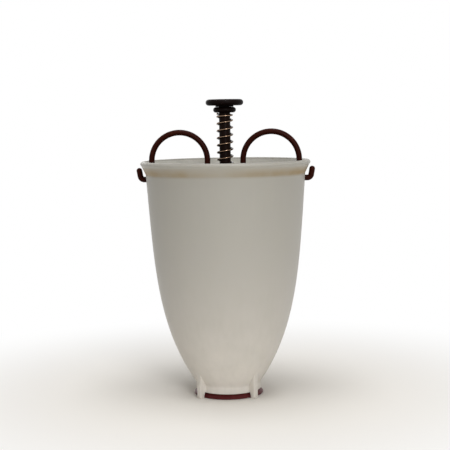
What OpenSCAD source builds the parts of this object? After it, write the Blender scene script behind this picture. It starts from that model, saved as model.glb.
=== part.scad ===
// Donut dropper: a plastic hopper held by two wire finger loops.
// A thumb knob pushes a sprung rod, which lowers a disc out of the spout to let batter fall in a ring.
// The origin is on the axis, level with the undersides of the feet. +Z is up and the loops lie along X.

/* [Hopper] */
// Diameter over the lip
rim_d = 130; // [110:0.5:150]
// Height from the spout's edge to the top of the lip
hopper_h = 176.7; // [160:0.1:200]
// How far the lip stands out past the wall
lip_over = 4; // [3:0.1:7]
// Thickness of the wall
wall_t = 1.8; // [1.2:0.1:2.4]
// How much the wall draws in for each millimetre of depth
wall_draft = 0.07; // [0.02:0.01:0.1]
// How late the wall turns in towards the spout
turn_in = 4; // [3:0.1:5]
// Height of the lip's rounded edge
lip_h = 3.6; // [3:0.1:5]
// Height of the flare from the wall to the lip
flare_h = 6.4; // [4:0.2:9]
// Thickness of the lip at its top
lip_t = 3.8; // [3:0.1:5]
// Outside diameter of the spout
spout_d = 50.2; // [47:0.2:54]
// Height of the spout's straight part
spout_h = 5.5; // [4:0.5:10]

/* [Feet] */
// Number of feet round the spout
foot_count = 4; // [3:1:5]
// Angle of the first foot from the finger loops
foot_turn = 45; // [0:1:90]
// How far each foot stands out from the spout
foot_depth = 5.9; // [4:0.1:8]
// Width of each foot
foot_w = 4; // [2:0.1:6]

/* [Handle wire] */
// Diameter of the wire
wire_d = 4.4; // [3:0.1:5]
// Bend radius at the middle of the wire
bend_r = 3; // [2.4:0.1:3.6]
// Gap between each inner leg and the eye
leg_gap = 0.85; // [0.5:0.05:4]
// Height of the centre of the loops above the lip
loop_lift = 0.2; // [0:0.1:6]
// Depth of the wire's holes below the lip
hole_drop = 14; // [13:0.5:25]
// Clearance round the wire in the wall's holes
hole_clear = 0.2; // [0.15:0.05:0.8]
// Clearance between each outer leg and the inside of the wall
leg_clear = 0.2; // [0.1:0.05:0.6]
// How far each hook's end stands out past the lip
hook_over = 1.3; // [1:0.1:4]
// Outward lean of each hook
hook_lean = 10; // [4:1:16]
// Depth of the hooks' ends below the lip
hook_drop = 5; // [4.5:0.5:7.5]
// Depth of the middle of the eye below the lip
eye_drop = 20; // [17:0.5:30]
// Gap between the turns of the eye
eye_gap = 0.55; // [0.45:0.05:1]

/* [Guide bush] */
// Thickness of the bush's barrel
bush_t = 1.7; // [1.2:0.1:2.4]
// Thickness of the bush's flange and of its snap rim
flange_t = 1.6; // [1.2:0.1:2.4]
// How far the flange reaches over the eye
flange_w = 1.7; // [1.4:0.1:2.2]
// How far the snap rim reaches under the eye
snap_w = 0.8; // [0.6:0.1:1.4]

/* [Plunger] */
// Diameter of the rod
rod_d = 8.6; // [7:0.1:10]
// Height of the top of the knob above the lip
knob_rise = 46.4; // [42:0.2:60]
// Diameter of the knob
knob_d = 28.7; // [24:0.1:32]
// Thickness of the knob
knob_h = 4.7; // [4:0.1:7]
// Thickness of the knob's neck round the rod
neck_t = 2.6; // [1.2:0.1:4]
// Length of the knob's neck
neck_h = 1; // [0.6:0.1:3]
// How far the rod reaches into the knob
knob_socket = 3; // [2:0.1:3.4]
// Width of the collar round the rod
collar_w = 4.4; // [3.4:0.1:6]
// Thickness of the collar
collar_h = 4.2; // [3:0.1:5]

/* [Spring] */
// Clearance between the rod and the spring
spring_clear = 0.75; // [0.4:0.05:1]
// Diameter of the spring's wire
spring_wire = 1.4; // [1.1:0.1:1.6]
// Turns of the spring, with one closed turn at each end
spring_turns = 10; // [8:0.5:12.5]
// Angle of the spring's lower end from the right-hand finger loop
spring_start = 194; // [0:1:359]
// Gap between the turns of the closed ends
spring_end_gap = 0.6; // [0.5:0.05:0.8]

/* [Disc] */
// How far the disc's edge stands out past the spout
disc_over = 1.5; // [0.5:0.1:2.5]
// Height of the disc's straight edge
disc_edge = 1.1; // [0.8:0.1:2]
// Height of the closed disc above the worktop
disc_lift = 0.2; // [0.2:0.1:2]
// Slope of the disc's cone
cone_angle = 35; // [28:1:42]
// Thickness of the disc's shell
disc_t = 2; // [1.6:0.1:2.4]
// Thickness of the disc's hub round the rod
hub_t = 2.7; // [2:0.1:5]
// Depth of the rod's socket in the hub
hub_socket = 8; // [6:0.5:14]
// Thickness of the floor under the socket
hub_floor = 2.6; // [2:0.1:4]

/* [Disc fixing] */
// Diameter of the screw
screw_d = 4; // [3:0.1:4.4]
// Length of the screw's thread in the rod
screw_grip = 10; // [6:0.5:20]
// Diameter of the screw's head
screw_head_d = 7.6; // [7:0.1:8.4]
// Height of the screw's head
screw_head_h = 2.6; // [2:0.1:3]
// Width of the slot in the screw's head
slot_w = 1.1; // [0.8:0.1:1.4]
// Depth of the slot in the screw's head
slot_depth = 1.2; // [0.8:0.1:1.5]
// Diameter of the washer
washer_d = 10; // [9:0.1:11]
// Thickness of the washer
washer_t = 0.8; // [0.5:0.1:1]
// Room round the washer in the disc
washer_clear = 1; // [0.5:0.1:2]

/* [Edges] */
// Bevel of the small outer edges
edge_break = 0.4; // [0.2:0.1:0.6]
// Rounding of the lip's inner edge
lip_inner_round = 1; // [0.5:0.1:1.5]

/* [Fits] */
// Running clearance of the rod in the bush and in the collar
run_fit = 0.08; // [0.04:0.01:0.1]
// Clearance of pieces that are fixed together
still_fit = 0.05; // [0.02:0.01:0.1]
// Gap between pieces that seat on each other
seat_gap = 0.15; // [0.1:0.05:0.25]
// Gap between the closed disc and the spout
disc_gap = 0.3; // [0.25:0.05:0.5]

/* [Hidden] */
$fn = 96;

HOPPER_WHITE = "#cfcbc0";
WIRE_BROWN = "#4a2213";
SPRING_BROWN = "#7a5a42";
KNOB_BROWN = "#2a1712";
DISC_BROWN = "#4a1c1c";
BUSH_BROWN = "#3a2018";
STEEL = "#b9bbbd";

// A small overlap that makes a cut run clean through a face
cut = 1;
// Steps along the wall's outline, round a bend, along a finger loop and round one turn of the eye
wall_steps = 28;
bend_steps = 6;
loop_steps = 24;
eye_steps = 24;
wire_sides = 12;
// Rings and sides of one turn of the spring
spring_rings = 8;
spring_sides = 6;

// Levels of the hopper: the closed disc lies between the feet, under the spout's edge
cone_rise = tan(cone_angle);
edge_top = disc_lift + disc_edge;
seat_z = edge_top + (disc_over + wall_t) * cone_rise;
spout_z = seat_z + disc_gap;
spout_top = spout_z + spout_h;
rim_z = spout_z + hopper_h;
wall_top = rim_z - lip_h - flare_h;
rim_r = rim_d / 2;
wall_r = rim_r - lip_over;
spout_r = spout_d / 2;
spout_in = spout_r - wall_t;
wall_run = wall_top - spout_top;
turn_depth = wall_r - wall_draft * wall_run - spout_r;
lip_round = lip_h / 2;
lip_in = rim_r - lip_t;

// Levels of the handle wire
wire_r = wire_d / 2;
hole_z = rim_z - hole_drop;
loop_z = rim_z + loop_lift;
leg_out = wall_in(hole_z) - wire_r - leg_clear;
hook_end_z = rim_z - hook_drop - wire_r;
hook_end_x = rim_r + hook_over;
hook_x = hook_end_x - (hook_end_z - hole_z) * tan(hook_lean);

// Each hole is tall enough for the bend that starts inside the wall
bend_in = bend_r - wire_r;
bend_short = max(0, bend_in - leg_clear);
hole_r = bend_r - sqrt(pow(bend_in, 2) - pow(bend_short, 2)) + hole_clear;

// The eye is wound round the bush: each inner leg runs into it along a tangent
rod_r = rod_d / 2;
bush_bore = rod_r + run_fit;
bush_r = bush_bore + bush_t;
eye_r = bush_r + seat_gap + wire_r;
leg_x = eye_r + wire_d + leg_gap;
loop_x = (leg_out + leg_x) / 2;
loop_r = (leg_out - leg_x) / 2;
eye_pitch = wire_d + eye_gap;
eye_lead = acos(eye_r / leg_x);
eye_sweep = 360 + 180 - 2 * eye_lead;
eye_rise = eye_pitch * eye_sweep / 360;
eye_mid = rim_z - eye_drop;
eye_low = eye_mid - eye_rise / 2;
eye_high = eye_mid + eye_rise / 2;

// Levels of the bush and the spring
bush_under = eye_low - wire_r - seat_gap;
bush_seat = eye_high + wire_r + seat_gap;
flange_r = bush_r + flange_w;
snap_r = bush_r + snap_w;
spring_z = bush_seat + flange_t;

// Levels of the plunger
knob_top = rim_z + knob_rise;
knob_r = knob_d / 2;
knob_under = knob_top - knob_h;
neck_under = knob_under - neck_h;
collar_top = neck_under - seat_gap;
collar_under = collar_top - collar_h;
collar_r = rod_r + collar_w;
neck_r = rod_r + neck_t;
rod_top = knob_under + knob_socket;

// Form of the spring
spring_r = rod_r + spring_clear + spring_wire / 2;
spring_len = collar_under - spring_z - 2 * seat_gap;
spring_end_pitch = spring_wire + spring_end_gap;
spring_run = spring_len - spring_wire - 2 * spring_end_pitch;
spring_pitch = spring_run / (spring_turns - 2);

// Form of the disc: one cone from the edge to the hub, under the spout's inner edge
disc_r = spout_r + disc_over;
hub_r = rod_r + hub_t;
cone_top = cone_z(hub_r);
shell_drop = disc_t / cos(cone_angle);
recess_r = washer_d / 2 + washer_clear;
recess_z = cone_z(recess_r) - shell_drop;
hollow_r = spout_in + (seat_z - shell_drop - disc_lift) / cone_rise;
socket_z = recess_z + hub_floor;
hub_top = max(cone_top, socket_z + hub_socket);
rod_under = socket_z + still_fit;
screw_r = screw_d / 2;
screw_hole = screw_r + still_fit;
washer_bore = screw_r + seat_gap;
head_top = recess_z - washer_t;
head_under = head_top - screw_head_h;
screw_top = rod_under + screw_grip;
screw_hole_top = screw_top + screw_d / 2;

// Feet stand just outside the disc
foot_in = disc_r + disc_gap;
foot_out = spout_r + foot_depth;

// Height of the disc's cone at a radius
function cone_z(r) = seat_z + (spout_in - r) * cone_rise;

// Outside radius of the wall at a height
function wall_depth(z) = (wall_top - z) / wall_run;
function wall_out(z) = wall_r - wall_draft * (wall_top - z) - turn_depth * pow(wall_depth(z), turn_in);

// Inside radius of the wall at a height: the wall keeps its thickness where it slopes
function wall_slope(z) = wall_draft + turn_depth * turn_in * pow(wall_depth(z), turn_in - 1) / wall_run;
function wall_in(z) = max(spout_in, wall_out(z) - wall_t * sqrt(1 + pow(wall_slope(z), 2)));

// Heights along the wall, from the spout up
function wall_levels() = [for (i = [0 : wall_steps]) spout_top + wall_run * i / wall_steps];

// Points of an arc in the plane
function arc(centre, r, from, to, steps) =
    [for (i = [0 : steps]) let (a = from + (to - from) * i / steps) centre + r * [cos(a), sin(a)]];

function unit(v) = v / norm(v);

// Points of the rounded corner at b on the way from a to c
function bend(a, b, c, r) =
    let (u = unit(a - b), v = unit(c - b), half = acos(u * v) / 2)
    let (start = b + u * r / tan(half), centre = b + unit(u + v) * r / sin(half))
    let (across = unit(start - centre), turn = 180 - 2 * half)
    [for (i = [0 : bend_steps]) let (s = turn * i / bend_steps) centre + r * (across * cos(s) - u * sin(s))];

// Direction of a path at each of its points
function headings(path) = let (last = len(path) - 1)
    [for (i = [0 : last]) unit(path[min(i + 1, last)] - path[max(i - 1, 0)])];

// A side direction carried along a path without twisting
function square_to(v, t) = unit(v - (v * t) * t);
function sides_of(ways, start) =
    [for (i = 0, s = square_to(start, ways[0]); i < len(ways);
        s = square_to(s, ways[min(i + 1, len(ways) - 1)]), i = i + 1) s];

// One closed tube along a path, with a radius for each point
module tube(path, radii, sides, start) {
    ways = headings(path);
    across = sides_of(ways, start);
    rings = len(path);
    corners = [for (i = [0 : rings - 1], k = [0 : sides - 1])
        let (a = 360 * k / sides, up = cross(ways[i], across[i]))
        path[i] + radii[i] * (across[i] * cos(a) + up * sin(a))];
    lower = [for (i = [0 : rings - 2], k = [0 : sides - 1])
        [i * sides + k, i * sides + (k + 1) % sides, (i + 1) * sides + k]];
    upper = [for (i = [0 : rings - 2], k = [0 : sides - 1])
        [i * sides + (k + 1) % sides, (i + 1) * sides + (k + 1) % sides, (i + 1) * sides + k]];
    first_cap = [for (k = [1 : sides - 2]) [0, k + 1, k]];
    last_cap = [for (k = [1 : sides - 2]) (rings - 1) * sides * [1, 1, 1] + [0, k, k + 1]];
    // The rings run with the path, so the faces are turned to look outwards
    outward = concat(lower, upper, first_cap, last_cap);
    polyhedron(points = corners, faces = [for (f = outward) [f[0], f[2], f[1]]]);
}

// Least gap of a tube to itself, between points that are further apart along it than skip
function nearest_after(path, i, skip) = min([for (j = [i + skip : len(path) - 1]) norm(path[i] - path[j])]);
function least_gap(path, d, skip) =
    min([for (i = [0 : len(path) - 1 - skip]) nearest_after(path, i, skip)]) - d;

// Where the tangent of a leg meets the eye
function eye_touch(side, z) = [side * eye_r * cos(eye_lead), -eye_r * sin(eye_lead), z];

// Half of the handle wire, from the end of its hook to the bend under its inner leg
function hook_slant(side) = [side * sin(hook_lean), 0, cos(hook_lean)];
function hook_corner(side) = [side * hook_x, 0, hole_z];
function hook_end(side) = [side * hook_end_x, 0, hook_end_z];
function dome(side) = [for (i = [1 : bend_steps])
    hook_end(side) + hook_slant(side) * wire_r * cos(90 * i / bend_steps)];
function loop(side) = [for (i = [0 : loop_steps]) let (a = 180 * i / loop_steps)
    [side * (loop_x + loop_r * cos(a)), 0, loop_z + loop_r * sin(a)]];
function half_wire(side, eye_z) =
    let (wall_corner = [side * leg_out, 0, hole_z], eye_corner = [side * leg_x, 0, eye_z])
    concat(dome(side),
        bend(hook_end(side), hook_corner(side), wall_corner, bend_r),
        bend(hook_corner(side), wall_corner, loop(side)[0], bend_r),
        loop(side),
        bend(loop(side)[loop_steps], eye_corner, eye_touch(side, eye_z), bend_r));

// The eye climbs from the left leg's tangent to the right leg's
eye_points = ceil(eye_steps * eye_sweep / 360);
function eye() = [for (i = [0 : eye_points]) let (a = 180 + eye_lead + eye_sweep * i / eye_points)
    [eye_r * cos(a), eye_r * sin(a), eye_low + eye_rise * i / eye_points]];

function reversed(list) = [for (i = [len(list) - 1 : -1 : 0]) list[i]];
wire_path = concat(half_wire(-1, eye_low), eye(), reversed(half_wire(1, eye_high)));
wire_last = len(wire_path) - 1;
wire_radii = [for (i = [0 : wire_last]) let (from_end = min(i, wire_last - i) + 1)
    from_end < bend_steps ? wire_r * sin(90 * from_end / bend_steps) : wire_r];

// The spring is right-handed, with a closed turn and a short straight tail at each end
spring_foot = spring_z + seat_gap + spring_wire / 2;
function spring_height(turn) = spring_end_pitch * min(turn, 1)
    + spring_pitch * max(0, min(turn, spring_turns - 1) - 1)
    + spring_end_pitch * max(0, turn - spring_turns + 1);
function spring_point(turn) =
    [spring_r * cos(360 * turn), spring_r * sin(360 * turn), spring_foot + spring_height(turn)];
function spring_way(turn) = [-sin(360 * turn), cos(360 * turn), 0];
spring_path = concat([spring_point(0) - spring_wire * spring_way(0)],
    [for (i = [0 : spring_turns * spring_rings]) spring_point(i / spring_rings)],
    [spring_point(spring_turns) + spring_wire * spring_way(spring_turns)]);
spring_radii = [for (p = spring_path) spring_wire / 2];

// The gaps are measured between points at least two thirds of a turn apart
echo(spring_least_gap = least_gap(spring_path, spring_wire, floor(spring_rings * 2 / 3)));
echo(eye_least_gap = least_gap(eye(), wire_d, floor(eye_steps * 2 / 3)));

// Outline of the hopper's outside, from the spout's edge up over the lip
lip_under = -60;
lip_top = 90;
hopper_outside = concat(
    [[0, spout_z], [spout_r - edge_break, spout_z], [spout_r, spout_z + edge_break]],
    [for (z = wall_levels()) [wall_out(z), z]],
    arc([rim_r - lip_round, rim_z - lip_round], lip_round, lip_under, lip_top, bend_steps * 2),
    [[0, rim_z]]);

// Outline of the hopper's inside, from below the spout to above the lip
inner_arc = [lip_in + lip_inner_round, rim_z - lip_inner_round];
hopper_inside = concat(
    [[0, spout_z - cut], [spout_in, spout_z - cut]],
    [for (z = wall_levels()) [wall_in(z), z]],
    arc(inner_arc, lip_inner_round, 180, lip_top, bend_steps),
    [[lip_in + lip_inner_round, rim_z + cut], [0, rim_z + cut]]);

// A foot is a rib on the cone that reaches down past the spout; the inside of the hopper trims its root
foot_root = spout_r - wall_t / 2;
foot_outline = [[foot_in, 0], [foot_out - edge_break, 0], [foot_out, edge_break], [foot_out, wall_top],
    [foot_root, wall_top], [foot_root, spout_z], [foot_in, spout_z]];

module foot() {
    translate([0, foot_w / 2, 0])
        rotate([90, 0, 0])
            linear_extrude(foot_w)
                polygon(foot_outline);
}

module wire_hole(side) {
    translate([side * leg_out, 0, hole_z])
        rotate([0, side * 90, 0])
            cylinder(r = hole_r, h = wall_r - leg_out + cut);
}

module hopper() {
    color(HOPPER_WHITE)
        difference() {
            union() {
                rotate_extrude() polygon(hopper_outside);
                for (i = [0 : foot_count - 1])
                    rotate(foot_turn + 360 * i / foot_count)
                        foot();
            }
            rotate_extrude() polygon(hopper_inside);
            for (side = [-1, 1])
                wire_hole(side);
        }
}

// One wire makes both hooks, both finger loops and the eye
module handle_wire() {
    color(WIRE_BROWN)
        tube(wire_path, wire_radii, wire_sides, [0, 1, 0]);
}

// The bush lines the eye, guides the rod and carries the spring
module guide_bush() {
    top = spring_z;
    under = bush_under - flange_t;
    color(BUSH_BROWN)
        rotate_extrude()
            polygon([[bush_bore, under], [snap_r - edge_break, under], [snap_r, under + edge_break],
                [snap_r, bush_under], [bush_r, bush_under], [bush_r, bush_seat], [flange_r, bush_seat],
                [flange_r, top - edge_break], [flange_r - edge_break, top], [bush_bore, top]]);
}

module return_spring() {
    color(SPRING_BROWN)
        rotate(spring_start)
            tube(spring_path, spring_radii, spring_sides, [0, 0, 1]);
}

module plunger_rod() {
    color(KNOB_BROWN)
        rotate_extrude()
            polygon([[screw_hole, rod_under], [rod_r - edge_break, rod_under],
                [rod_r, rod_under + edge_break], [rod_r, rod_top - edge_break],
                [rod_r - edge_break, rod_top], [0, rod_top],
                [0, screw_hole_top], [screw_hole, screw_hole_top]]);
}

// A round plate in outline, with a fully rounded edge
module round_edged(r, h) {
    square([r - h / 2, h]);
    translate([r - h / 2, h / 2]) circle(h / 2);
}

module thumb_knob() {
    color(KNOB_BROWN)
        rotate_extrude()
            difference() {
                union() {
                    translate([0, knob_under]) round_edged(knob_r, knob_h);
                    translate([0, neck_under]) square([neck_r, neck_h + knob_h / 2]);
                }
                translate([0, neck_under - cut])
                    square([rod_r + still_fit, cut + neck_h + knob_socket + still_fit]);
            }
}

// The collar turns freely on the rod between the knob and the spring
module spring_collar() {
    color(KNOB_BROWN)
        rotate_extrude()
            difference() {
                translate([0, collar_under]) round_edged(collar_r, collar_h);
                translate([0, collar_under - cut]) square([rod_r + run_fit, collar_h + 2 * cut]);
            }
}

// The disc is a hollow cone: it centres itself in the spout and its edge cuts off the batter
module dispensing_disc() {
    socket_r = rod_r + still_fit;
    color(DISC_BROWN)
        rotate_extrude()
            polygon([[hollow_r, disc_lift], [disc_r - edge_break, disc_lift],
                [disc_r, disc_lift + edge_break], [disc_r, edge_top],
                [hub_r, cone_top], [hub_r, hub_top - edge_break],
                [hub_r - edge_break, hub_top], [socket_r, hub_top], [socket_r, socket_z],
                [screw_hole, socket_z], [screw_hole, recess_z], [recess_r, recess_z]]);
}

module disc_washer() {
    color(STEEL)
        rotate_extrude()
            polygon([[washer_bore, head_top], [washer_d / 2, head_top], [washer_d / 2, recess_z],
                [washer_bore, recess_z]]);
}

module disc_screw() {
    head_r = screw_head_d / 2;
    color(STEEL)
        difference() {
            rotate_extrude()
                polygon([[0, head_under], [head_r - edge_break * 2, head_under],
                    [head_r, head_under + edge_break * 2], [head_r, head_top], [screw_r, head_top],
                    [screw_r, screw_top - edge_break], [screw_r - edge_break, screw_top], [0, screw_top]]);
            translate([-screw_head_d / 2 - cut, -slot_w / 2, head_under - cut])
                cube([screw_head_d + 2 * cut, slot_w, slot_depth + cut]);
        }
}

hopper();
handle_wire();
guide_bush();
return_spring();
plunger_rod();
thumb_knob();
spring_collar();
dispensing_disc();
disc_washer();
disc_screw();
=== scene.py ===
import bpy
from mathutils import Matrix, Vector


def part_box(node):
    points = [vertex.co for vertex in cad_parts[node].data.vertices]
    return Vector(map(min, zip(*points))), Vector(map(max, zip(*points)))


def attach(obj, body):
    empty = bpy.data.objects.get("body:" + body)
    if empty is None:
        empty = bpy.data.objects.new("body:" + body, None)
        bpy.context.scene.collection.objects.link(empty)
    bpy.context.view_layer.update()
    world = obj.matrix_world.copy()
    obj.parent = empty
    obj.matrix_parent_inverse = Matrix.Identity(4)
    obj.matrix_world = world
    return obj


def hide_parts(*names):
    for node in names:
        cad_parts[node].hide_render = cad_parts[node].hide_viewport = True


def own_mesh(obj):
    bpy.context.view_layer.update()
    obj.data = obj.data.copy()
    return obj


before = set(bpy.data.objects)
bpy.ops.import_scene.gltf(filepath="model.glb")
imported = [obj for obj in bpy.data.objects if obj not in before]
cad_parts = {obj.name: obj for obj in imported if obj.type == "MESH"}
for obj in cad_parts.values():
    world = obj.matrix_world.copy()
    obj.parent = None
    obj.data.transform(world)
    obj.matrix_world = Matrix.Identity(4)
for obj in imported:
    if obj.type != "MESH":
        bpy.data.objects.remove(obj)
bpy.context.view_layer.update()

import math

import bmesh
import bpy
from mathutils import Matrix, Vector

MM = 0.001

# Sizes of the dropper in millimetres. The origin is on its axis, under the feet.
SPOUT_Z = 3.911
SPOUT_H = 5.5
SPOUT_R = 25.1
HOPPER_H = 176.7
RIM_R = 65.0
LIP_OVER = 4.0
LIP_H = 3.6
LIP_T = 3.8
LIP_INNER_ROUND = 1.0
FLARE_H = 6.4
WALL_T = 1.8
WALL_DRAFT = 0.07
TURN_IN = 4.0
FOOT_IN = 26.9
FOOT_OUT = 31.0
FOOT_W = 4.0
FOOT_ANGLES = (45, 135, 225, 315)
WIRE_R = 2.2
BEND_R = 3.0
LEG_IN = 13.68
LEG_CLEAR = 0.2
LOOP_LIFT = 0.2
HOLE_DROP = 14.0
HOLE_R = 2.671
HOOK_OVER = 1.3
HOOK_LEAN = 10.0
HOOK_DROP = 5.0
EYE_R = 8.43
EYE_DROP = 20.0
EYE_PITCH = 4.95
ROD_R = 4.3
SPRING_R = 5.75
SPRING_WIRE_R = 0.7
SPRING_TURNS = 10
SPRING_START = 194
SPRING_END_PITCH = 2.0
TRAVEL = 22.0

# Levels and radii that follow from those sizes.
SPOUT_IN = SPOUT_R - WALL_T
SPOUT_TOP = SPOUT_Z + SPOUT_H
RIM_Z = SPOUT_Z + HOPPER_H
WALL_TOP = RIM_Z - LIP_H - FLARE_H
WALL_R = RIM_R - LIP_OVER
WALL_RUN = WALL_TOP - SPOUT_TOP
TURN_DEPTH = WALL_R - WALL_DRAFT * WALL_RUN - SPOUT_R
HOLE_Z = RIM_Z - HOLE_DROP
LOOP_Z = RIM_Z + LOOP_LIFT
EYE_MID = RIM_Z - EYE_DROP


def wall_out(z):
    """Outer radius of the hopper's wall at a level."""
    depth = (WALL_TOP - z) / WALL_RUN
    return WALL_R - WALL_DRAFT * (WALL_TOP - z) - TURN_DEPTH * depth ** TURN_IN


def wall_in(z):
    """Inner radius of the hopper's wall at a level, with its thickness square to its slope."""
    depth = (WALL_TOP - z) / WALL_RUN
    slope = WALL_DRAFT + TURN_DEPTH * TURN_IN * depth ** (TURN_IN - 1) / WALL_RUN
    return max(SPOUT_IN, wall_out(z) - WALL_T * math.hypot(1, slope))


# Outlines and meshes

CORNER_STEPS = 5
SHARP_ANGLE = 40


def arc(centre, radius, start, end, steps):
    """Points of an arc in the plane, between two angles in degrees."""
    angles = [math.radians(start + (end - start) * i / steps) for i in range(steps + 1)]
    return [(centre[0] + radius * math.cos(a), centre[1] + radius * math.sin(a)) for a in angles]


def rounded(corners):
    """Outline through (r, z, radius) corners, with an arc at each corner that has a radius."""
    points = []
    for i, (r, z, radius) in enumerate(corners):
        corner = Vector((r, z))
        if not radius:
            points.append((r, z))
            continue
        back = (Vector(corners[i - 1][:2]) - corner).normalized()
        ahead = (Vector(corners[(i + 1) % len(corners)][:2]) - corner).normalized()
        half = back.angle(ahead) / 2
        centre = corner + (back + ahead).normalized() * radius / math.sin(half)
        start = corner + back * radius / math.tan(half) - centre
        end = corner + ahead * radius / math.tan(half) - centre
        sweep = start.angle(end)
        for k in range(CORNER_STEPS + 1):
            part = sweep * k / CORNER_STEPS
            spoke = (start * math.sin(sweep - part) + end * math.sin(part)) / math.sin(sweep)
            points.append(tuple(centre + spoke))
    return points


def ring_of(bm, r, z, segments):
    """One ring of vertices round the axis, or a single vertex on it."""
    if r < 1e-6:
        return [bm.verts.new((0, 0, z * MM))]
    turns = [2 * math.pi * j / segments for j in range(segments)]
    return [bm.verts.new((r * MM * math.cos(a), r * MM * math.sin(a), z * MM)) for a in turns]


def join_rings(bm, low, high, skipped=()):
    """Faces between two rings, looking away from the outline's left side."""
    count = max(len(low), len(high))
    for j in range(count):
        if j in skipped or len(low) + len(high) == 2:
            continue
        k = (j + 1) % count
        corners = [low[j % len(low)], low[k % len(low)], high[k % len(high)], high[j % len(high)]]
        bm.faces.new(list(dict.fromkeys(corners)))


def turned(outline, segments=96):
    """A mesh of an outline turned about the axis. The outline keeps the material on its left."""
    bm = bmesh.new()
    rings = [ring_of(bm, r, z, segments) for r, z in outline]
    for low, high in zip(rings, rings[1:] + rings[:1]):
        join_rings(bm, low, high)
    return bm


def swept(path, radii, sides):
    """A tube along a path in millimetres. Its UV map gives the distance round it and along it."""
    bm = bmesh.new()
    uv = bm.loops.layers.uv.new("along_wire")
    points = [Vector(p) for p in path]
    last = len(points) - 1
    rings, runs, run, side = [], [], 0.0, None
    for i, point in enumerate(points):
        way = (points[min(i + 1, last)] - points[max(i - 1, 0)]).normalized()
        side = (way.orthogonal() if side is None else side - side.dot(way) * way).normalized()
        up = way.cross(side)
        turns = [2 * math.pi * k / sides for k in range(sides)]
        spokes = [side * math.cos(a) + up * math.sin(a) for a in turns]
        rings.append([bm.verts.new((point + spoke * radii[i]) * MM) for spoke in spokes])
        run += (point - points[i - 1]).length if i else 0
        runs.append(run)
    across = 2 * math.pi * max(radii) / sides
    for i in range(last):
        for k in range(sides):
            n = (k + 1) % sides
            face = bm.faces.new((rings[i][k], rings[i][n], rings[i + 1][n], rings[i + 1][k]))
            places = ((k, i), (k + 1, i), (k + 1, i + 1), (k, i + 1))
            for loop, (round_it, along) in zip(face.loops, places):
                loop[uv].uv = (round_it * across, runs[along])
    bm.faces.new(rings[0][::-1])
    bm.faces.new(rings[-1])
    return bm


def levels_of(node):
    """Lowest and highest level of a CAD node, in millimetres."""
    return [corner.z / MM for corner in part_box(node)]


def piece(name, bm, material, body):
    """An object of a mesh that rides on a body and stands for the node of the same purpose."""
    mesh = bpy.data.meshes.new(name)
    bm.to_mesh(mesh)
    bm.free()
    mesh.shade_smooth()
    mesh.set_sharp_from_angle(angle=math.radians(SHARP_ANGLE))
    mesh.materials.append(material)
    shape = bpy.data.objects.new(name, mesh)
    bpy.context.scene.collection.objects.link(shape)
    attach(shape, body)
    return shape


def combined(base, tool, operation):
    """The mesh of base with the tool's mesh joined to it or cut from it. Both are used up."""
    shapes = []
    for bm in (base, tool):
        mesh = bpy.data.meshes.new("blank")
        bm.to_mesh(mesh)
        bm.free()
        shapes.append(bpy.data.objects.new("blank", mesh))
        bpy.context.scene.collection.objects.link(shapes[-1])
    cutter = shapes[0].modifiers.new("combine", "BOOLEAN")
    cutter.operation = operation
    cutter.solver = "EXACT"
    cutter.object = shapes[1]
    graph = bpy.context.evaluated_depsgraph_get()
    result = bmesh.new()
    result.from_object(shapes[0], graph)
    for shape in shapes:
        mesh = shape.data
        bpy.data.objects.remove(shape)
        bpy.data.meshes.remove(mesh)
    return result


# Materials

# Depths in millimetres of marks: wear of the lip by hands, painted shade on its crown, wear of the
# feet
LIP_HANDLED = 4.0
LIP_CROWN_SHADE = 1.3
FEET_SCUFFED = 5.0


def linear(code):
    """Linear colour of an sRGB hex value."""
    parts = [int(code[i:i + 2], 16) / 255 for i in (1, 3, 5)]
    parts = [c / 12.92 if c <= 0.04045 else ((c + 0.055) / 1.055) ** 2.4 for c in parts]
    return (*parts, 1.0)


def per(size_mm):
    """Scale of a pattern with features this many millimetres wide, on coordinates in metres."""
    return 1 / (size_mm * MM)


def add_node(tree, kind, links=None, **settings):
    """Adds a node. Links give each input a value or the output that feeds it."""
    made = tree.nodes.new(kind)
    for name, value in settings.items():
        setattr(made, name, value)
    for name, value in (links or {}).items():
        if isinstance(value, bpy.types.NodeSocket):
            tree.links.new(value, made.inputs[name])
        else:
            made.inputs[name].default_value = value
    return made


def new_finish(name, **constants):
    """A material with a Principled shader whose constant sockets are set."""
    material = bpy.data.materials.new(name)
    material.use_nodes = True
    shader = material.node_tree.nodes["Principled BSDF"]
    for socket, value in constants.items():
        shader.inputs[socket.replace("_", " ")].default_value = value
    return material, material.node_tree, shader


def connect(tree, shader, colour, gloss, relief=None):
    """Feeds a finish's colour, roughness and fine relief to its shader."""
    tree.links.new(colour.outputs[2], shader.inputs["Base Color"])
    tree.links.new(gloss.outputs[0], shader.inputs["Roughness"])
    if relief:
        tree.links.new(relief.outputs[0], shader.inputs["Normal"])


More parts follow.
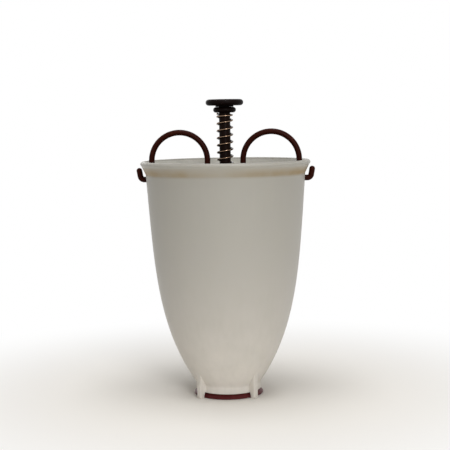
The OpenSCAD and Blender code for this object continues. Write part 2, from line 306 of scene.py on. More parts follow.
def moulded_polypropylene():
    """Off-white polypropylene from a lightly textured mould: satin, a little cloudy.

    Faint flow lines run up it. Hands grey the lip and worktops scuff the feet. Painted shade greys
    the crown of the lip and darkens the hollow under it with a warm painted reflection, and painted
    light makes the lower wall and the inside paler.
    """
    material, tree, shader = new_finish(
        "moulded_polypropylene", IOR=1.49, Subsurface_Weight=0.08, Subsurface_Scale=1.2 * MM,
        Subsurface_Radius=(1.0, 0.85, 0.6))
    place = add_node(tree, "ShaderNodeTexCoord").outputs["Object"]
    height = add_node(tree, "ShaderNodeSeparateXYZ", {"Vector": place}).outputs["Z"]
    cloud = add_node(tree, "ShaderNodeTexNoise", {"Vector": place, "Scale": per(16), "Detail": 4.0})
    drawn = add_node(tree, "ShaderNodeMapping",
                     {"Vector": place, "Scale": (per(3.5), per(3.5), per(70))})
    flow = add_node(tree, "ShaderNodeTexNoise", {
        "Vector": drawn.outputs[0], "Scale": 1.0, "Detail": 3.0})
    # The mould's texture is about 0.25 mm; it is drawn three times as coarse, to show
    grain = add_node(tree, "ShaderNodeTexNoise", {
        "Vector": place, "Scale": per(0.75), "Detail": 2.0})
    # Painted light: the wall is drawn whiter towards the spout, as if lit more from the worktop
    # there
    lower = add_node(tree, "ShaderNodeMapRange", {
        "Value": height, "From Min": WALL_TOP * MM, "From Max": 0.0})
    painted_light_low = add_node(tree, "ShaderNodeMath", {0: lower.outputs[0], 1: 2.0}, operation="POWER")
    outside = add_node(tree, "ShaderNodeMix", {
        0: painted_light_low.outputs[0], 6: linear("#adaaa2"), 7: linear("#efe9e1")}, data_type="RGBA")
    # Painted light: the inside is drawn paler than the outside, as if more light reached it
    inside_light_mask = add_node(tree, "ShaderNodeAttribute", attribute_name="painted_inside_light")
    body = add_node(tree, "ShaderNodeMix", {
        0: inside_light_mask.outputs["Fac"], 6: outside.outputs[2], 7: linear("#cecbc2")}, data_type="RGBA")
    clouds = add_node(tree, "ShaderNodeMapRange", {
        "Value": cloud.outputs["Fac"], "From Min": 0.3, "From Max": 0.7, "To Max": 0.17})
    clouded = add_node(tree, "ShaderNodeMix", {
        0: clouds.outputs[0], 6: body.outputs[2], 7: linear("#b4b3a6")}, data_type="RGBA")
    flowed = add_node(tree, "ShaderNodeMapRange", {
        "Value": flow.outputs["Fac"], "From Min": 0.42, "From Max": 0.7, "To Max": 0.1})
    streaked = add_node(tree, "ShaderNodeMix", {
        0: flowed.outputs[0], 6: clouded.outputs[2], 7: linear("#b8b3a9")}, data_type="RGBA")
    lip = add_node(tree, "ShaderNodeMapRange", {
        "Value": height, "From Min": (RIM_Z - LIP_HANDLED) * MM, "From Max": RIM_Z * MM})
    feet = add_node(tree, "ShaderNodeMapRange", {
        "Value": height, "From Min": FEET_SCUFFED * MM, "From Max": 0.0})
    touched = add_node(tree, "ShaderNodeMath", {
        0: lip.outputs[0], 1: feet.outputs[0]}, operation="MAXIMUM")
    specks = add_node(tree, "ShaderNodeTexNoise", {
        "Vector": place, "Scale": per(2.2), "Detail": 5.0})
    scuffs = add_node(tree, "ShaderNodeMapRange", {
        "Value": specks.outputs["Fac"], "From Min": 0.5, "From Max": 0.72, "To Max": 0.5})
    worn = add_node(tree, "ShaderNodeMath", {
        0: touched.outputs[0], 1: scuffs.outputs[0]}, operation="MULTIPLY")
    greyed = add_node(tree, "ShaderNodeMix", {
        0: worn.outputs[0], 6: streaked.outputs[2], 7: linear("#a89f8e")}, data_type="RGBA")
    # Painted shade: the crown of the lip is drawn greyest, to dim the light that falls on it from
    # above
    crown = add_node(tree, "ShaderNodeMapRange", {
        "Value": height, "From Min": (RIM_Z - LIP_CROWN_SHADE) * MM, "From Max": RIM_Z * MM,
        "To Max": 0.9})
    crown_painted_shade = add_node(tree, "ShaderNodeMix", {
        0: crown.outputs[0], 6: greyed.outputs[2], 7: linear("#8b877e")}, data_type="RGBA")
    # Painted shade and warm painted reflection in the hollow under the lip, in blotches
    cove_shade_mask = add_node(tree, "ShaderNodeAttribute", attribute_name="painted_cove_shade")
    blotches = add_node(tree, "ShaderNodeMapRange", {
        "Value": cloud.outputs["Fac"], "From Min": 0.3, "From Max": 0.7,
        "To Min": 0.6, "To Max": 1.0})
    cove_shade_amount = add_node(tree, "ShaderNodeMath", {
        0: cove_shade_mask.outputs["Fac"], 1: blotches.outputs[0]}, operation="MULTIPLY")
    colour = add_node(tree, "ShaderNodeMix", {
        0: cove_shade_amount.outputs[0], 6: crown_painted_shade.outputs[2], 7: linear("#8f7642")}, data_type="RGBA")
    satin = add_node(tree, "ShaderNodeMapRange", {
        "Value": grain.outputs["Fac"], "From Min": 0.3, "From Max": 0.7,
        "To Min": 0.4, "To Max": 0.52})
    relief = add_node(tree, "ShaderNodeBump", {
        "Height": grain.outputs["Fac"], "Strength": 0.35, "Distance": 0.05 * MM})
    connect(tree, shader, colour, satin, relief)
    return material


def lacquered_steel_wire():
    """Drawn steel wire under brown lacquer: fine lines along it, soft gloss, rubbed spots."""
    material, tree, shader = new_finish(
        "lacquered_steel_wire", IOR=1.5, Specular_IOR_Level=0.04)
    along = add_node(tree, "ShaderNodeUVMap", uv_map="along_wire")
    # Drawing lines are about 0.1 mm apart and are drawn at 0.35 mm, to show
    drawn = add_node(tree, "ShaderNodeMapping", {
        "Vector": along.outputs[0], "Scale": (1 / 0.35, 1 / 14, 1.0)})
    lines = add_node(tree, "ShaderNodeTexNoise", {
        "Vector": drawn.outputs[0], "Scale": 1.0, "Detail": 3.0})
    place = add_node(tree, "ShaderNodeTexCoord").outputs["Object"]
    patches = add_node(tree, "ShaderNodeTexNoise", {
        "Vector": place, "Scale": per(4), "Detail": 5.0})
    lacquer = add_node(tree, "ShaderNodeMix", {
        0: lines.outputs["Fac"], 6: linear("#200804"), 7: linear("#391208")}, data_type="RGBA")
    rubbed = add_node(tree, "ShaderNodeMapRange", {
        "Value": patches.outputs["Fac"], "From Min": 0.56, "From Max": 0.72, "To Max": 0.4})
    colour = add_node(tree, "ShaderNodeMix", {
        0: rubbed.outputs[0], 6: lacquer.outputs[2], 7: linear("#4a2113")}, data_type="RGBA")
    gloss = add_node(tree, "ShaderNodeMapRange", {
        "Value": patches.outputs["Fac"], "From Min": 0.35, "From Max": 0.7,
        "To Min": 0.3, "To Max": 0.46})
    relief = add_node(tree, "ShaderNodeBump", {
        "Height": lines.outputs["Fac"], "Strength": 0.3, "Distance": 0.04 * MM})
    connect(tree, shader, colour, gloss, relief)
    return material


def bronzed_spring_wire():
    """Hard-drawn spring wire with a dark oxide, and a painted highlight along the crown of each
    turn.
    """
    material, tree, shader = new_finish("bronzed_spring_wire", Metallic=1.0)
    along = add_node(tree, "ShaderNodeUVMap", uv_map="along_wire")
    # Drawing lines are about 0.1 mm apart and are drawn at 0.3 mm, to show
    drawn = add_node(tree, "ShaderNodeMapping", {
        "Vector": along.outputs[0], "Scale": (1 / 0.3, 1 / 8, 1.0)})
    lines = add_node(tree, "ShaderNodeTexNoise", {
        "Vector": drawn.outputs[0], "Scale": 1.0, "Detail": 3.0})
    place = add_node(tree, "ShaderNodeTexCoord").outputs["Object"]
    oxide = add_node(tree, "ShaderNodeTexNoise", {
        "Vector": place, "Scale": per(2.5), "Detail": 4.0})
    flat = add_node(tree, "ShaderNodeVectorMath", {0: place, 1: (1, 1, 0)}, operation="MULTIPLY")
    radius = add_node(tree, "ShaderNodeVectorMath", {0: flat.outputs[0]}, operation="LENGTH")
    # Painted highlight: the crown of each turn is drawn bright
    crown = add_node(tree, "ShaderNodeMapRange", {
        "Value": radius.outputs["Value"], "From Min": (SPRING_R + 0.9 * SPRING_WIRE_R) * MM,
        "From Max": (SPRING_R + SPRING_WIRE_R) * MM})
    browned = add_node(tree, "ShaderNodeMix", {
        0: oxide.outputs["Fac"], 6: linear("#160e0a"), 7: linear("#2c2019")}, data_type="RGBA")
    colour = add_node(tree, "ShaderNodeMix", {
        0: crown.outputs[0], 6: browned.outputs[2], 7: linear("#c9a88c")}, data_type="RGBA")
    gloss = add_node(tree, "ShaderNodeMapRange", {
        "Value": lines.outputs["Fac"], "From Min": 0.3, "From Max": 0.7,
        "To Min": 0.1, "To Max": 0.18})
    relief = add_node(tree, "ShaderNodeBump", {
        "Height": lines.outputs["Fac"], "Strength": 0.25, "Distance": 0.03 * MM})
    connect(tree, shader, colour, gloss, relief)
    return material


def moulded_phenolic():
    """Near-black brown phenolic: satin mould, faint swirl of filler, hairline marks from thumbs."""
    material, tree, shader = new_finish("moulded_phenolic", IOR=1.5, Specular_IOR_Level=0.045)
    place = add_node(tree, "ShaderNodeTexCoord").outputs["Object"]
    swirl = add_node(tree, "ShaderNodeTexNoise", {
        "Vector": place, "Scale": per(5), "Detail": 6.0, "Distortion": 1.2})
    filler = add_node(tree, "ShaderNodeTexNoise", {
        "Vector": place, "Scale": per(0.6), "Detail": 2.0})
    colour = add_node(tree, "ShaderNodeMix", {
        0: swirl.outputs["Fac"], 6: linear("#080303"), 7: linear("#130907")}, data_type="RGBA")
    scratches = add_node(tree, "ShaderNodeMapping", {
        "Vector": place, "Scale": (per(0.25), per(5), per(5)), "Rotation": (0, 0, 0.6)})
    hairs = add_node(tree, "ShaderNodeTexNoise", {
        "Vector": scratches.outputs[0], "Scale": 1.0, "Detail": 2.0})
    gloss = add_node(tree, "ShaderNodeMapRange", {
        "Value": hairs.outputs["Fac"], "From Min": 0.45, "From Max": 0.75,
        "To Min": 0.42, "To Max": 0.56})
    relief = add_node(tree, "ShaderNodeBump", {
        "Height": filler.outputs["Fac"], "Strength": 0.15, "Distance": 0.03 * MM})
    connect(tree, shader, colour, gloss, relief)
    return material


def extruded_acetal():
    """Dark brown acetal rod: straight extrusion lines, with some patches rubbed glossier."""
    material, tree, shader = new_finish("extruded_acetal", IOR=1.48, Specular_IOR_Level=0.04)
    place = add_node(tree, "ShaderNodeTexCoord").outputs["Object"]
    # Extrusion lines are about 0.2 mm apart and are drawn at 0.5 mm, to show
    pulled = add_node(tree, "ShaderNodeMapping", {
        "Vector": place, "Scale": (per(0.5), per(0.5), per(40))})
    lines = add_node(tree, "ShaderNodeTexNoise", {
        "Vector": pulled.outputs[0], "Scale": 1.0, "Detail": 3.0})
    rub = add_node(tree, "ShaderNodeTexNoise", {"Vector": place, "Scale": per(6), "Detail": 4.0})
    colour = add_node(tree, "ShaderNodeMix", {
        0: lines.outputs["Fac"], 6: linear("#0f0705"), 7: linear("#1f0f09")}, data_type="RGBA")
    gloss = add_node(tree, "ShaderNodeMapRange", {
        "Value": rub.outputs["Fac"], "From Min": 0.35, "From Max": 0.7,
        "To Min": 0.34, "To Max": 0.5})
    relief = add_node(tree, "ShaderNodeBump", {
        "Height": lines.outputs["Fac"], "Strength": 0.25, "Distance": 0.03 * MM})
    connect(tree, shader, colour, gloss, relief)
    return material


def moulded_polystyrene():
    """Maroon-brown polystyrene: flow lines run out from its centre, with a soft gloss."""
    material, tree, shader = new_finish("moulded_polystyrene", IOR=1.55, Specular_IOR_Level=0.1)
    place = add_node(tree, "ShaderNodeTexCoord").outputs["Object"]
    flat = add_node(tree, "ShaderNodeVectorMath", {0: place, 1: (1, 1, 0)}, operation="MULTIPLY")
    ray = add_node(tree, "ShaderNodeVectorMath", {0: flat.outputs[0]}, operation="NORMALIZE")
    # About forty flow lines go round the disc
    flow = add_node(tree, "ShaderNodeTexNoise", {
        "Vector": ray.outputs[0], "Scale": 9.0, "Detail": 4.0})
    # The mould's grain is about 0.3 mm and is drawn at 0.8 mm, to show
    grain = add_node(tree, "ShaderNodeTexNoise", {
        "Vector": place, "Scale": per(0.8), "Detail": 3.0})
    colour = add_node(tree, "ShaderNodeMix", {
        0: flow.outputs["Fac"], 6: linear("#451718"), 7: linear("#652627")}, data_type="RGBA")
    gloss = add_node(tree, "ShaderNodeMapRange", {
        "Value": grain.outputs["Fac"], "From Min": 0.3, "From Max": 0.7,
        "To Min": 0.38, "To Max": 0.52})
    relief = add_node(tree, "ShaderNodeBump", {
        "Height": grain.outputs["Fac"], "Strength": 0.2, "Distance": 0.03 * MM})
    connect(tree, shader, colour, gloss, relief)
    return material


def zinc_plated_steel():
    """Turned steel with bright zinc: fine rings round the axis and a slightly clouded plating."""
    material, tree, shader = new_finish("zinc_plated_steel", Metallic=1.0)
    place = add_node(tree, "ShaderNodeTexCoord").outputs["Object"]
    flat = add_node(tree, "ShaderNodeVectorMath", {0: place, 1: (1, 1, 0)}, operation="MULTIPLY")
    radius = add_node(tree, "ShaderNodeVectorMath", {0: flat.outputs[0]}, operation="LENGTH")
    rings = add_node(tree, "ShaderNodeTexNoise", {
        "W": radius.outputs["Value"], "Scale": per(0.2), "Detail": 2.0}, noise_dimensions="1D")
    cloud = add_node(tree, "ShaderNodeTexNoise", {
        "Vector": place, "Scale": per(1.5), "Detail": 3.0})
    colour = add_node(tree, "ShaderNodeMix", {
        0: cloud.outputs["Fac"], 6: linear("#a9abad"), 7: linear("#c9cacb")}, data_type="RGBA")
    gloss = add_node(tree, "ShaderNodeMapRange", {
        "Value": rings.outputs["Fac"], "From Min": 0.3, "From Max": 0.7,
        "To Min": 0.22, "To Max": 0.4})
    connect(tree, shader, colour, gloss)
    return material


# Pieces of the hopper's body

HOPPER_SEGMENTS = 256
HOLE_CELLS = 6
HOLE_STEP = 1.15
HOLE_ROUND = 0.45
WALL_STEPS = 44
SPOUT_EDGE_ROUND = 0.5
SPOUT_BEND = 4.0
FLARE_BEND = 2.5
INNER_BEND = 2.0
FOOT_ROUND = 0.5

# Painted shade and a warm painted reflection in the hollow under the lip: its strength, the
# millimetres that it fades past the flare and rises in, its share at the front, the further share
# beside the hooks, and the rings on the flare that carry it
COVE_SHADE = 0.67
COVE_SHADE_FADE = 1.5
COVE_SHADE_RISE = 2.0
COVE_SHADE_FRONT = 0.45
COVE_SHADE_BESIDE_HOOKS = 1.1
COVE_SHADE_ROWS = (0.3, 0.5, 0.75)


def hopper_outline():
    """Closed outline of the hopper's wall, out and up over the lip and down inside."""
    hole_rows = [HOLE_Z + HOLE_STEP * (k - HOLE_CELLS / 2) for k in range(HOLE_CELLS + 1)]
    low, high = SPOUT_TOP + 2.0, hole_rows[0]
    levels = [low + (high - low) * i / WALL_STEPS for i in range(WALL_STEPS)] + hole_rows
    bead = LIP_H / 2
    lip_in = RIM_R - LIP_T
    outside = [(SPOUT_IN, SPOUT_Z, 0.4), (SPOUT_R, SPOUT_Z, SPOUT_EDGE_ROUND)]
    outside += [(SPOUT_R, SPOUT_TOP, SPOUT_BEND)]
    outside += [(wall_out(z), z, 0) for z in levels]
    outside += [(WALL_R, WALL_TOP, FLARE_BEND)]
    lip = arc((RIM_R - bead, RIM_Z - bead), bead, -60, 90, 12)
    flare = Vector((lip[0][0] - WALL_R, lip[0][1] - WALL_TOP))
    outside += [(WALL_R + flare.x * share, WALL_TOP + flare.y * share, 0)
                for share in COVE_SHADE_ROWS]
    lip += arc((lip_in + LIP_INNER_ROUND, RIM_Z - LIP_INNER_ROUND), LIP_INNER_ROUND, 90, 180, 6)
    inside = [(wall_in(WALL_TOP), WALL_TOP, FLARE_BEND)]
    inside += [(wall_in(z), z, 0) for z in reversed(levels)]
    inside += [(SPOUT_IN, SPOUT_TOP + 0.6, INNER_BEND)]
    outline = rounded(outside + [(r, z, 0) for r, z in lip] + inside)
    return outline, hole_rows, outline.index(lip[0]), outline.index(lip[-1])


def cove_shade_at(place):
    """How much painted shade a place gets: most under the lip and beside the hooks."""
    over = place.z / MM - WALL_TOP
    beside_hooks = abs(place.x) / place.xy.length
    end = FLARE_H + COVE_SHADE_FADE
    below = (over + COVE_SHADE_FADE) / COVE_SHADE_RISE
    above = (end - over) / (end - COVE_SHADE_RISE)
    share = COVE_SHADE_FRONT + COVE_SHADE_BESIDE_HOOKS * beside_hooks
    return COVE_SHADE * max(0, min(below, above, 1)) * share


def hopper_hole(bm, rings, outer_rows, inner_rows, middle):
    """Rounds one of the wire's holes into the block of cells left open for it."""
    n = HOLE_CELLS
    rim = ([(0, c) for c in range(n)] + [(r, n) for r in range(n)]
           + [(n, c) for c in range(n, 0, -1)] + [(r, 0) for r in range(n, 0, -1)])
    columns = [(middle - n // 2 + c) % HOPPER_SEGMENTS for c in range(n + 1)]
    turn = 2 * math.pi * middle / HOPPER_SEGMENTS
    step = 2 * math.pi / HOPPER_SEGMENTS * wall_out(HOLE_Z)
    loops = [[rings[outer_rows[r]][columns[c]] for r, c in rim]]
    for surface, inset, radius in ((wall_out, 0, HOLE_R + HOLE_ROUND),
                                   (wall_out, -HOLE_ROUND * 0.3, HOLE_R + HOLE_ROUND * 0.3),
                                   (wall_out, -HOLE_ROUND, HOLE_R),
                                   (wall_in, HOLE_ROUND, HOLE_R),
                                   (wall_in, HOLE_ROUND * 0.3, HOLE_R + HOLE_ROUND * 0.3),
                                   (wall_in, 0, HOLE_R + HOLE_ROUND)):
        loop = []
        for r, c in rim:
            angle = math.atan2((r - n / 2) * HOLE_STEP, (c - n / 2) * step)
            z = HOLE_Z + radius * math.sin(angle)
            wall = surface(z) + inset
            a = turn + radius * math.cos(angle) / wall
            loop.append(bm.verts.new((wall * MM * math.cos(a), wall * MM * math.sin(a), z * MM)))
        loops.append(loop)
    loops.append([rings[inner_rows[r]][columns[c]] for r, c in rim])
    for near, far in zip(loops, loops[1:]):
        join_rings(bm, near, far)


def hopper_wall():
    """The hopper's wall with its lip, its spout and the two holes for the wire."""
    outline, hole_rows, lip_start, lip_end = hopper_outline()
    bm = bmesh.new()
    painted_cove_shade = bm.verts.layers.float.new("painted_cove_shade")
    painted_inside_light = bm.verts.layers.float.new("painted_inside_light")
    rings = [ring_of(bm, r, z, HOPPER_SEGMENTS) for r, z in outline]
    # Painted shade under the lip is stored on the outer vertices
    for ring in rings[:lip_start]:
        for vertex in ring:
            vertex[painted_cove_shade] = cove_shade_at(vertex.co)
    # Painted light: the inner vertices are marked for the paler inside
    for ring in rings[lip_end:]:
        for vertex in ring:
            vertex[painted_inside_light] = 1.0
    outer_rows = [outline.index((wall_out(z), z)) for z in hole_rows]
    inner_rows = [outline.index((wall_in(z), z)) for z in hole_rows]
    half = HOLE_CELLS // 2
    middles = (0, HOPPER_SEGMENTS // 2)
    open_cells = {(m + c) % HOPPER_SEGMENTS for m in middles for c in range(-half, half)}
    open_rows = set(outer_rows[:-1]) | set(inner_rows[1:])
    for i, (low, high) in enumerate(zip(rings, rings[1:] + rings[:1])):
        join_rings(bm, low, high, open_cells if i in open_rows else ())
    for middle in middles:
        hopper_hole(bm, rings, outer_rows, inner_rows, middle)
    return bm


def hopper_feet():
    """Four ribs that reach down past the spout, rooted half-way into the wall."""
    bm = bmesh.new()
    # Levels every half millimetre, up to where the foot's outer side runs into the wall
    root = [SPOUT_TOP + 0.5 * i for i in range(28)]
    middle = [((wall_out(z) + wall_in(z)) / 2, z) for z in root]
    middle = [(r, z) for r, z in middle if r < FOOT_OUT - 0.3]
    under = SPOUT_Z + 0.6
    outline = [(FOOT_IN, 0), (FOOT_OUT, 0), (FOOT_OUT, middle[-1][1] + 0.6)]
    outline += middle[::-1] + [(SPOUT_R - WALL_T / 2, under), (FOOT_IN, under)]
    for angle in FOOT_ANGLES:
        turn = Matrix.Rotation(math.radians(angle), 3, "Z")
        sides = [[bm.verts.new(turn @ Vector((r, side * FOOT_W / 2, z)) * MM) for r, z in outline]
                 for side in (1, -1)]
        caps = [bm.faces.new(sides[0][::-1]), bm.faces.new(sides[1])]
        edges = [edge for cap in caps for edge in cap.edges]
        count = len(outline)
        for i in range(count):
            k = (i + 1) % count
            bm.faces.new((sides[0][i], sides[0][k], sides[1][k], sides[1][i]))
        # The edges inside the wall stay sharp
        soft = [e for e in edges
                if all(v.co.xy.length > (FOOT_IN - FOOT_ROUND) * MM for v in e.verts)]
        corner = [e for near, far in zip(sides[0][:2], sides[1])
                  for e in near.link_edges if far in e.verts]
        bmesh.ops.bevel(bm, geom=soft + corner, offset=FOOT_ROUND * MM, segments=3, profile=0.5,
                        affect="EDGES")
    bmesh.ops.recalc_face_normals(bm, faces=bm.faces)
    return bm


# The handle wire

BEND_STEPS = 10
LOOP_STEPS = 64
EYE_STEPS = 96
DOME_STEPS = 8


def bend(a, b, c):
    """Points of the rounded corner at b on the way from a to c."""
    a, b, c = Vector(a), Vector(b), Vector(c)
    back, ahead = (a - b).normalized(), (c - b).normalized()
    half = back.angle(ahead) / 2
    centre = b + (back + ahead).normalized() * BEND_R / math.sin(half)
    spoke = (b + back * BEND_R / math.tan(half) - centre).normalized()
    turn = math.pi - 2 * half
    angles = [turn * i / BEND_STEPS for i in range(BEND_STEPS + 1)]
    return [centre + BEND_R * (spoke * math.cos(t) - back * math.sin(t)) for t in angles]


def half_wire(side, eye_z, touch):
    """One side of the wire: its hook, the run through the wall, the loop and the inner leg."""
    leg_out = wall_in(HOLE_Z) - WIRE_R - LEG_CLEAR
    loop_x, loop_r = (leg_out + LEG_IN) / 2, (leg_out - LEG_IN) / 2
    lean = math.radians(HOOK_LEAN)
    end_z = RIM_Z - HOOK_DROP - WIRE_R
    end = Vector((side * (RIM_R + HOOK_OVER), 0, end_z))
    slant = Vector((side * math.sin(lean), 0, math.cos(lean)))
    hook = end - slant * (end_z - HOLE_Z) / math.cos(lean)
    wall = Vector((side * leg_out, 0, HOLE_Z))
    angles = [math.pi * i / LOOP_STEPS for i in range(LOOP_STEPS + 1)]
    loop = [Vector((side * (loop_x + loop_r * math.cos(t)), 0, LOOP_Z + loop_r * math.sin(t)))
            for t in angles]
    eye_corner = Vector((side * LEG_IN, 0, eye_z))
    dome = [end + slant * WIRE_R * math.cos(math.pi / 2 * i / DOME_STEPS)
            for i in range(1, DOME_STEPS + 1)]
    return (dome + bend(end, hook, wall) + bend(hook, wall, loop[0]) + loop
            + bend(loop[-1], eye_corner, touch))


def handle_wire():
    """One wire with both hooks, both finger loops and the eye round the bush."""
    lead = math.acos(EYE_R / LEG_IN)
    sweep = 3 * math.pi - 2 * lead
    rise = EYE_PITCH * sweep / (2 * math.pi)
    start = math.pi + lead
    low = EYE_MID - rise / 2
    eye = []
    for i in range(EYE_STEPS + 1):
        angle = start + sweep * i / EYE_STEPS
        level = low + rise * i / EYE_STEPS
        eye.append(Vector((EYE_R * math.cos(angle), EYE_R * math.sin(angle), level)))
    left = half_wire(-1, low, eye[0])
    right = half_wire(1, low + rise, eye[-1])
    path = left + eye + right[::-1]
    radii = [WIRE_R] * len(path)
    for i in range(DOME_STEPS):
        radii[i] = radii[-1 - i] = WIRE_R * math.sin(math.pi / 2 * (i + 1) / DOME_STEPS)
    return swept(path, radii, sides=20)


# The spring and the turned pieces


def return_spring():
    """A right-handed spring with one closed turn and a short straight tail at each end."""
    low, high = levels_of("return_spring")
    foot = low + SPRING_WIRE_R
    run = high - low - 2 * SPRING_WIRE_R - 2 * SPRING_END_PITCH
    pitch = run / (SPRING_TURNS - 2)

    def on_helix(turn):
        climb = SPRING_END_PITCH * (min(turn, 1) + max(0, turn - SPRING_TURNS + 1))
        climb += pitch * max(0, min(turn, SPRING_TURNS - 1) - 1)
        angle = math.radians(SPRING_START + 360 * turn)
        return Vector((SPRING_R * math.cos(angle), SPRING_R * math.sin(angle), foot + climb))

    def tail(turn, length):
        angle = math.radians(SPRING_START + 360 * turn)
        return on_helix(turn) + length * Vector((-math.sin(angle), math.cos(angle), 0))

    # The cut ends of the wire have a small bevel
    per_turn = 40
    end, bevel = 2 * SPRING_WIRE_R, 1.8 * SPRING_WIRE_R
    path = [tail(0, -end), tail(0, -bevel)]
    path += [on_helix(i / per_turn) for i in range(SPRING_TURNS * per_turn + 1)]
    path += [tail(SPRING_TURNS, bevel), tail(SPRING_TURNS, end)]
    radii = [SPRING_WIRE_R] * len(path)
    radii[0] = radii[-1] = 0.8 * SPRING_WIRE_R
    return swept(path, radii, sides=14), low, high - low


def guide_bush():
    """A flanged bush with a snap rim under the eye."""
    low, top = levels_of("guide_bush")
    bore, barrel, flange, rim, plate = 4.38, 6.08, 7.78, 6.88, 1.6
    return turned(rounded([
        (bore, low, 0.3), (rim, low, 0.7), (rim, low + plate, 0.2), (barrel, low + plate, 0.2),
        (barrel, top - plate, 0.2), (flange, top - plate, 0.3), (flange, top, 0.5),
        (bore, top, 0.4)]))


def plunger_rod():
    """The rod, with a hole for the screw in its lower end."""
    low, top = levels_of("plunger_rod")
    hole, depth = 2.05, 12.0
    return turned(rounded([
        (0, low + depth, 0), (hole, low + depth, 0.2), (hole, low, 0.2), (ROD_R, low, 0.4),
        (ROD_R, top, 0.4), (0, top, 0)]))


def thumb_knob():
    """A round-edged knob with a short neck, hollow for the rod."""
    low, top = levels_of("thumb_knob")
    bore, socket, neck, neck_h, edge = 4.35, 4.05, 6.9, 1.0, 14.35
    under = low + neck_h
    bead = (top - under) / 2
    lower = rounded([
        (0, low + socket, 0), (bore, low + socket, 0.2), (bore, low, 0.2), (neck, low, 0.3),
        (neck, under, 0.5), (edge - bead, under, 0)])
    # The top is dished a little for the thumb
    crown = [(edge - 1.6 * bead, top), (edge * 0.55, top - 0.12), (edge * 0.3, top - 0.3),
             (0, top - 0.36)]
    return turned(lower + arc((edge - bead, under + bead), bead, -80, 90, 20) + crown, 128)


def spring_collar():
    """The rounded collar that the spring presses up against the knob."""
    low, top = levels_of("spring_collar")
    bore, edge = 4.38, 8.7
    bead = (top - low) / 2
    return turned([(bore, top - 0.3), (bore, low + 0.3), (bore + 0.3, low)]
                  + arc((edge - bead, low + bead), bead, -90, 90, 20) + [(bore + 0.3, top)])


def dispensing_disc():
    """A hollow cone with a straight edge, a hub for the rod and a recess for the washer."""
    low, top = levels_of("dispensing_disc")
    edge, hub, socket, hole, recess, hollow = 26.6, 7.0, 4.35, 2.05, 6.0, 24.685
    edge_h, cone_top, floor, ceiling = 1.1, 15.02, 15.883, 13.283
    return turned(rounded([
        (hollow, low, 0.2), (edge, low, 0.4), (edge, low + edge_h, 0.4), (hub, cone_top, 1.5),
        (hub, top, 0.8), (socket, top, 0.3), (socket, floor, 0.2), (hole, floor, 0.15),
        (hole, ceiling, 0.15), (recess, ceiling, 0.5)]), 160)


def disc_washer():
    """A flat washer with its edges tumbled."""
    low, top = levels_of("disc_washer")
    bore, edge = 2.15, 5.0
    return turned(rounded([
        (bore, low, 0.12), (edge, low, 0.2), (edge, top, 0.2), (bore, top, 0.12)]), 64)


def disc_screw():
    """A slotted pan-head screw."""
    low, top = levels_of("disc_screw")
    head, head_h, shank, slot_w, slot_depth = 3.8, 2.6, 2.0, 1.1, 1.2
    screw = turned(rounded([
        (0, low, 0), (head, low, 1.1), (head, low + head_h, 0.2), (shank, low + head_h, 0.1),
        (shank, top, 0.4), (0, top, 0)]), 64)
    slot, past_head = bmesh.new(), 1.0
    place = Matrix.Translation((0, 0, (low + (slot_depth - past_head) / 2) * MM))
    size = Matrix.Diagonal((3 * head * MM, slot_w * MM, (slot_depth + past_head) * MM, 1))
    bmesh.ops.create_cube(slot, size=1, matrix=place @ size)
    return combined(screw, slot, "DIFFERENCE")


# The dropper, piece by piece

polypropylene = moulded_polypropylene()
phenolic = moulded_phenolic()
steel = zinc_plated_steel()

hopper = piece("hopper_moulding", combined(hopper_wall(), hopper_feet(), "UNION"), polypropylene,
               "hopper_body")
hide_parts("hopper")

wire = piece("bent_handle_wire", handle_wire(), lacquered_steel_wire(),
             "hopper_body")
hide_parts("handle_wire")

bush = piece("flanged_bush", guide_bush(), phenolic, "hopper_body")
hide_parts("guide_bush")

coil, coil_low, coil_h = return_spring()
spring = piece("coil_spring", coil, bronzed_spring_wire(), "hopper_body")
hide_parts("return_spring")
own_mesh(spring)

collar = piece("collar_bead", spring_collar(), phenolic, "collar")
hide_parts("spring_collar")

rod = piece("round_rod", plunger_rod(), extruded_acetal(), "plunger")
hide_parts("plunger_rod")

knob = piece("thumb_button", thumb_knob(), phenolic, "plunger")
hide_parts("thumb_knob")

disc = piece("closing_disc", dispensing_disc(), moulded_polystyrene(), "plunger")
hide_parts("dispensing_disc")

washer = piece("flat_washer", disc_washer(), steel, "plunger")
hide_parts("disc_washer")

screw = piece("slotted_screw", disc_screw(), steel, "plunger")
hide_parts("disc_screw")


# The studio: a pale floor that fades to white, soft lamps and a camera at the photographed angle.
# Sizes of the floor are in millimetres, and lamps and camera are placed in metres.

FLOOR_R = 6000.0
# An opening lets light from below reach the closing disc, which covers it. A second floor with the
# same opening is where the disc ends when it is pressed down.
FLOOR_OPENING_R = 26.0
FLOOR_LEVELS = (0.0, -TRAVEL)
FLOOR_SEGMENTS = 96
# Distances from the axis between which the floor fades to white
FADE_START = 50.0
FADE_END = 340.0


def seen_rays(tree):
    """1 where the camera, a reflection or a clear surface looks, and 0 for all other light."""
    rays = add_node(tree, "ShaderNodeLightPath")
    seen = add_node(tree, "ShaderNodeMath", {
        0: rays.outputs["Is Camera Ray"], 1: rays.outputs["Is Glossy Ray"]}, operation="MAXIMUM")
    shown = add_node(tree, "ShaderNodeMath", {
        0: seen.outputs[0], 1: rays.outputs["Is Transmission Ray"]}, operation="MAXIMUM")
    return shown.outputs[0]


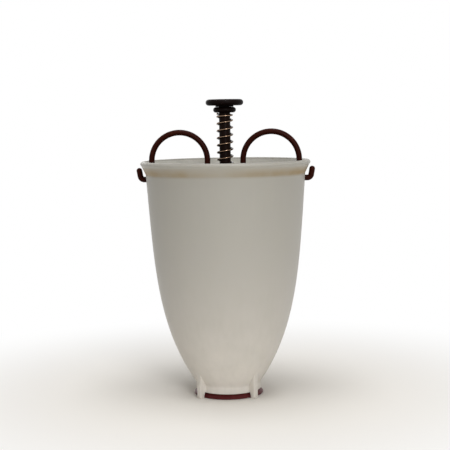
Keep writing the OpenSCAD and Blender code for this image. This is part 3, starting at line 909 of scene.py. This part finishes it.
def studio_floor():
    """A pale floor with the dropper's shadow, white further off and clear from below."""
    bm = bmesh.new()
    for z in FLOOR_LEVELS:
        join_rings(bm, ring_of(bm, FLOOR_R, z, FLOOR_SEGMENTS),
                   ring_of(bm, FLOOR_OPENING_R, z, FLOOR_SEGMENTS))
    mesh = bpy.data.meshes.new("studio_floor")
    bm.to_mesh(mesh)
    bm.free()
    floor = bpy.data.objects.new("studio_floor", mesh)
    bpy.context.scene.collection.objects.link(floor)
    material = bpy.data.materials.new("matt_floor_paint")
    material.use_nodes = True
    tree = material.node_tree
    place = add_node(tree, "ShaderNodeTexCoord").outputs["Object"]
    distance = add_node(tree, "ShaderNodeVectorMath", {0: place}, operation="LENGTH")
    far = add_node(tree, "ShaderNodeMapRange", {
        "Value": distance.outputs["Value"], "From Min": FADE_START * MM,
        "From Max": FADE_END * MM}, interpolation_type="SMOOTHSTEP")
    share = add_node(tree, "ShaderNodeMath", {
        0: far.outputs[0], 1: seen_rays(tree)}, operation="MULTIPLY")
    paint = add_node(tree, "ShaderNodeBsdfDiffuse", {"Color": linear("#f0ece5")})
    white = add_node(tree, "ShaderNodeEmission", {"Color": linear("#ffffff"), "Strength": 1.0})
    mixed = add_node(tree, "ShaderNodeMixShader", {
        0: share.outputs[0], 1: paint.outputs[0], 2: white.outputs[0]})
    under = add_node(tree, "ShaderNodeNewGeometry").outputs["Backfacing"]
    clear = add_node(tree, "ShaderNodeBsdfTransparent")
    one_way = add_node(tree, "ShaderNodeMixShader", {
        0: under, 1: mixed.outputs[0], 2: clear.outputs[0]})
    tree.links.new(one_way.outputs[0], tree.nodes["Material Output"].inputs["Surface"])
    mesh.materials.append(material)


def studio_world(fill):
    """White where the camera or a reflection looks, and a gentle fill light elsewhere."""
    world = bpy.data.worlds.new("studio_world")
    world.use_nodes = True
    bpy.context.scene.world = world
    tree = world.node_tree
    strength = add_node(tree, "ShaderNodeMapRange", {
        "Value": seen_rays(tree), "To Min": fill, "To Max": 1.0})
    tree.links.new(strength.outputs[0], tree.nodes["Background"].inputs["Strength"])
    tree.nodes["Background"].inputs["Color"].default_value = linear("#ffffff")


def soft_lamp(name, place, aim, size, watts):
    """A square soft box."""
    lamp = bpy.data.lights.new(name, "AREA")
    lamp.shape = "SQUARE"
    lamp.size = size
    lamp.energy = watts
    holder = bpy.data.objects.new(name, lamp)
    holder.location = place
    holder.rotation_euler = (Vector(aim) - Vector(place)).to_track_quat("-Z", "Y").to_euler()
    bpy.context.scene.collection.objects.link(holder)


def photo_camera():
    """A camera at the photographed angle, turned a little so that the dropper leans alike."""
    distance, height, yaw, roll = 0.88, 0.2133, math.radians(3), math.radians(0.9)
    aim = Vector((-0.001, 0, 0.1308))
    lens = bpy.data.cameras.new("photo_camera")
    lens.lens = 91.85
    lens.sensor_width = 36.0
    camera = bpy.data.objects.new("photo_camera", lens)
    place = Vector((distance * math.sin(yaw), -distance * math.cos(yaw), height))
    facing = (aim - place).to_track_quat("-Z", "Y").to_matrix()
    lean = Matrix.Rotation(-roll, 3, "Z")
    camera.matrix_world = Matrix.Translation(place) @ (facing @ lean).to_4x4()
    bpy.context.scene.collection.objects.link(camera)
    bpy.context.scene.camera = camera


studio_floor()
studio_world(fill=0.22)
soft_lamp("front_box", (0.4, -1.2, 0.6), aim=(0, 0, 0.09), size=0.4, watts=6.5)
soft_lamp("top_box", (0.0, -0.15, 1.4), aim=(0, 0, 0.0), size=0.8, watts=11.0)
soft_lamp("back_box", (-0.5, 1.3, 0.55), aim=(0, 0, 0.1), size=0.8, watts=2.5)
photo_camera()
bpy.context.scene.view_settings.view_transform = "Standard"
